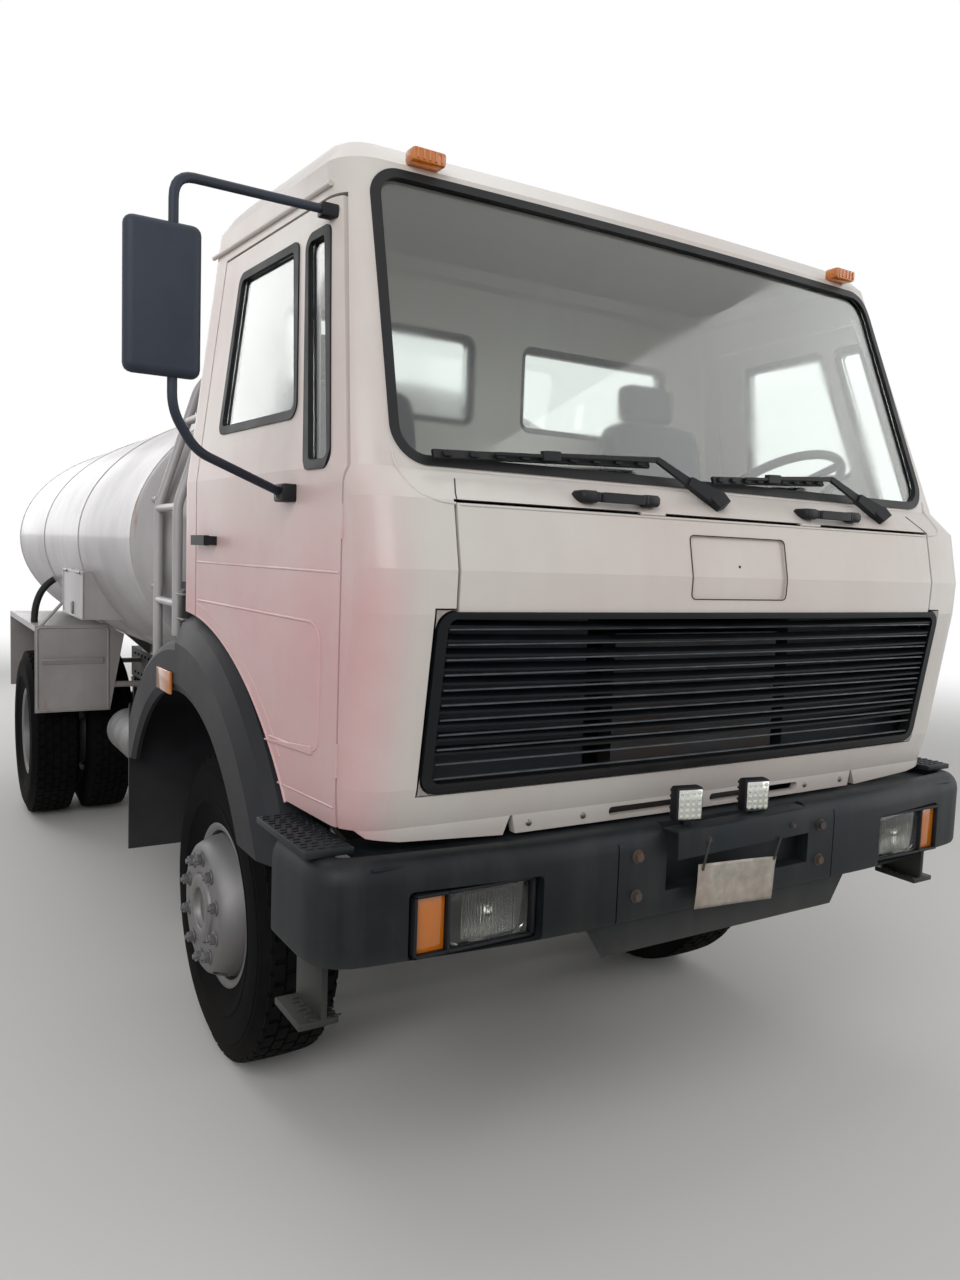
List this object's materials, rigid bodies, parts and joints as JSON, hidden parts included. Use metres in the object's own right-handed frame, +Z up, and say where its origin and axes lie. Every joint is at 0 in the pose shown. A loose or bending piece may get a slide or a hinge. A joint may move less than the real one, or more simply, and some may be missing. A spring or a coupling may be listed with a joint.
{
  "type": "tanker truck",
  "caption": "Forward-control tanker truck: elliptical tank with manhole and ladder, hollow cab with opening doors and front flap, steered front wheels, twin rear wheels.",
  "frame": {"origin": "on the ground, below the middle of the box round the whole truck (the right mirror included)", "axes": "+Z up, -Y to the front of the truck, +Y to its rear, +X to its left (driver) side"},
  "size_m": [2.8, 5.857, 2.8],
  "materials": {
    "cab_paint": "satin, weathered",
    "tank_paint": "satin, weathered",
    "chassis_paint": "matt, dusty",
    "wheel_paint": "semi-gloss silver, dusty",
    "forged_iron": "rough",
    "tyre_rubber": "matt",
    "window_rubber": "matt",
    "hose_rubber": "matt",
    "cab_glass": "clear, slightly green",
    "lamp_glass": "ribbed, clear",
    "amber_lens": "gloss",
    "red_lens": "gloss",
    "black_plastic": "grained",
    "flare_plastic": "grained",
    "bumper_steel": "matt, worn",
    "grille_plastic": "satin",
    "dash_plastic": "grained",
    "seat_cloth": "woven",
    "reservoir_metal": "dull",
    "engine_metal": "oily",
    "exhaust_metal": "dull"
  },
  "bodies": {
    "chassis": {"cab_shell": "cab_paint", "window_seals": "window_rubber", "windscreen": "cab_glass", "rear_windows": "cab_glass", "grab_handles": "black_plastic", "wipers": "black_plastic", "air_intake": "black_plastic", "cab_floor": "dash_plastic", "dashboard": "dash_plastic", "steering_wheel": "black_plastic", "seats": "seat_cloth", "bumper": "bumper_steel", "headlamps": "lamp_glass", "amber_lamps": "amber_lens", "tail_lamps": "red_lens", "flares": "flare_plastic", "work_lamps": "black_plastic", "front_axle": "forged_iron", "rear_axle": "forged_iron", "leaf_springs": "chassis_paint", "frame": "chassis_paint", "crossmembers": "chassis_paint", "rear_crossmember": "chassis_paint", "cab_mounts": "chassis_paint", "underrun_bar": "chassis_paint", "powertrain": "engine_metal", "fuel_tank": "chassis_paint", "silencer": "exhaust_metal", "air_tanks": "reservoir_metal", "battery_box": "chassis_paint", "tank": "tank_paint", "tank_cradle": "tank_paint", "side_locker": "tank_paint", "ladder": "tank_paint", "rear_mudguards": "tank_paint", "discharge_pipe": "exhaust_metal", "hose": "hose_rubber"},
    "door_right": {"door_right_panel": "cab_paint", "door_right_trim": "window_rubber", "door_right_glass": "cab_glass", "mirror_right": "black_plastic"},
    "door_left": {"door_left_panel": "cab_paint", "door_left_trim": "window_rubber", "door_left_glass": "cab_glass"},
    "flap": {"flap_panel": "cab_paint", "grille": "grille_plastic"},
    "upright_right": {"knuckle_right": "forged_iron"},
    "upright_left": {"knuckle_left": "forged_iron"},
    "tie_bar": {"track_rod": "forged_iron"},
    "front_wheel_right": {"tyre_front_right": "tyre_rubber", "wheel_front_right": "wheel_paint"},
    "front_wheel_left": {"tyre_front_left": "tyre_rubber", "wheel_front_left": "wheel_paint"},
    "rear_wheels_right": {"tyres_rear_right": "tyre_rubber", "wheels_rear_right": "wheel_paint"},
    "rear_wheels_left": {"tyres_rear_left": "tyre_rubber", "wheels_rear_left": "wheel_paint"},
    "manhole_cover": {"manhole_lid": "tank_paint"}
  },
  "joints": [
    {"name": "door_right_hinge", "type": "hinge", "parent": "chassis", "child": "door_right", "pos_m": [-0.94253, -2.6905, 1.7], "axis": [0, 0, 1], "range_deg": [0, 70]},
    {"name": "door_left_hinge", "type": "hinge", "parent": "chassis", "child": "door_left", "pos_m": [1.24253, -2.6905, 1.7], "axis": [0, 0, -1], "range_deg": [0, 70]},
    {"name": "flap_hinge", "type": "hinge", "parent": "chassis", "child": "flap", "pos_m": [0.15, -2.8395, 1.856], "axis": [-1, 0, 0], "range_deg": [0, 70]},
    {"name": "steer_right", "type": "hinge", "parent": "chassis", "child": "upright_right", "pos_m": [-0.61, -1.5565, 0.515], "axis": [0, 0, 1], "range_deg": [-35, 35]},
    {"name": "steer_left", "type": "hinge", "parent": "chassis", "child": "upright_left", "pos_m": [0.91, -1.5565, 0.515], "axis": [0, 0, 1], "range_deg": [-35, 35]},
    {"name": "tie_pivot", "type": "hinge", "parent": "upright_right", "child": "tie_bar", "pos_m": [-0.61, -1.3915, 0.407], "axis": [0, 0, 1], "range_deg": [-35, 35]},
    {"name": "roll_front_right", "type": "hinge", "parent": "upright_right", "child": "front_wheel_right", "pos_m": [-0.755, -1.5565, 0.515], "axis": [1, 0, 0], "continuous": true},
    {"name": "roll_front_left", "type": "hinge", "parent": "upright_left", "child": "front_wheel_left", "pos_m": [1.055, -1.5565, 0.515], "axis": [1, 0, 0], "continuous": true},
    {"name": "roll_rear_right", "type": "hinge", "parent": "chassis", "child": "rear_wheels_right", "pos_m": [-0.802, 1.9435, 0.515], "axis": [1, 0, 0], "continuous": true},
    {"name": "roll_rear_left", "type": "hinge", "parent": "chassis", "child": "rear_wheels_left", "pos_m": [1.102, 1.9435, 0.515], "axis": [1, 0, 0], "continuous": true},
    {"name": "manhole_hinge", "type": "hinge", "parent": "chassis", "child": "manhole_cover", "pos_m": [0.15, 0.9615, 2.525], "axis": [-1, 0, 0], "range_deg": [0, 110]}
  ],
  "couplings": [
    {"joint": "steer_left", "follows": "steer_right", "ratio": 1},
    {"joint": "tie_pivot", "follows": "steer_right", "ratio": -1}
  ]
}
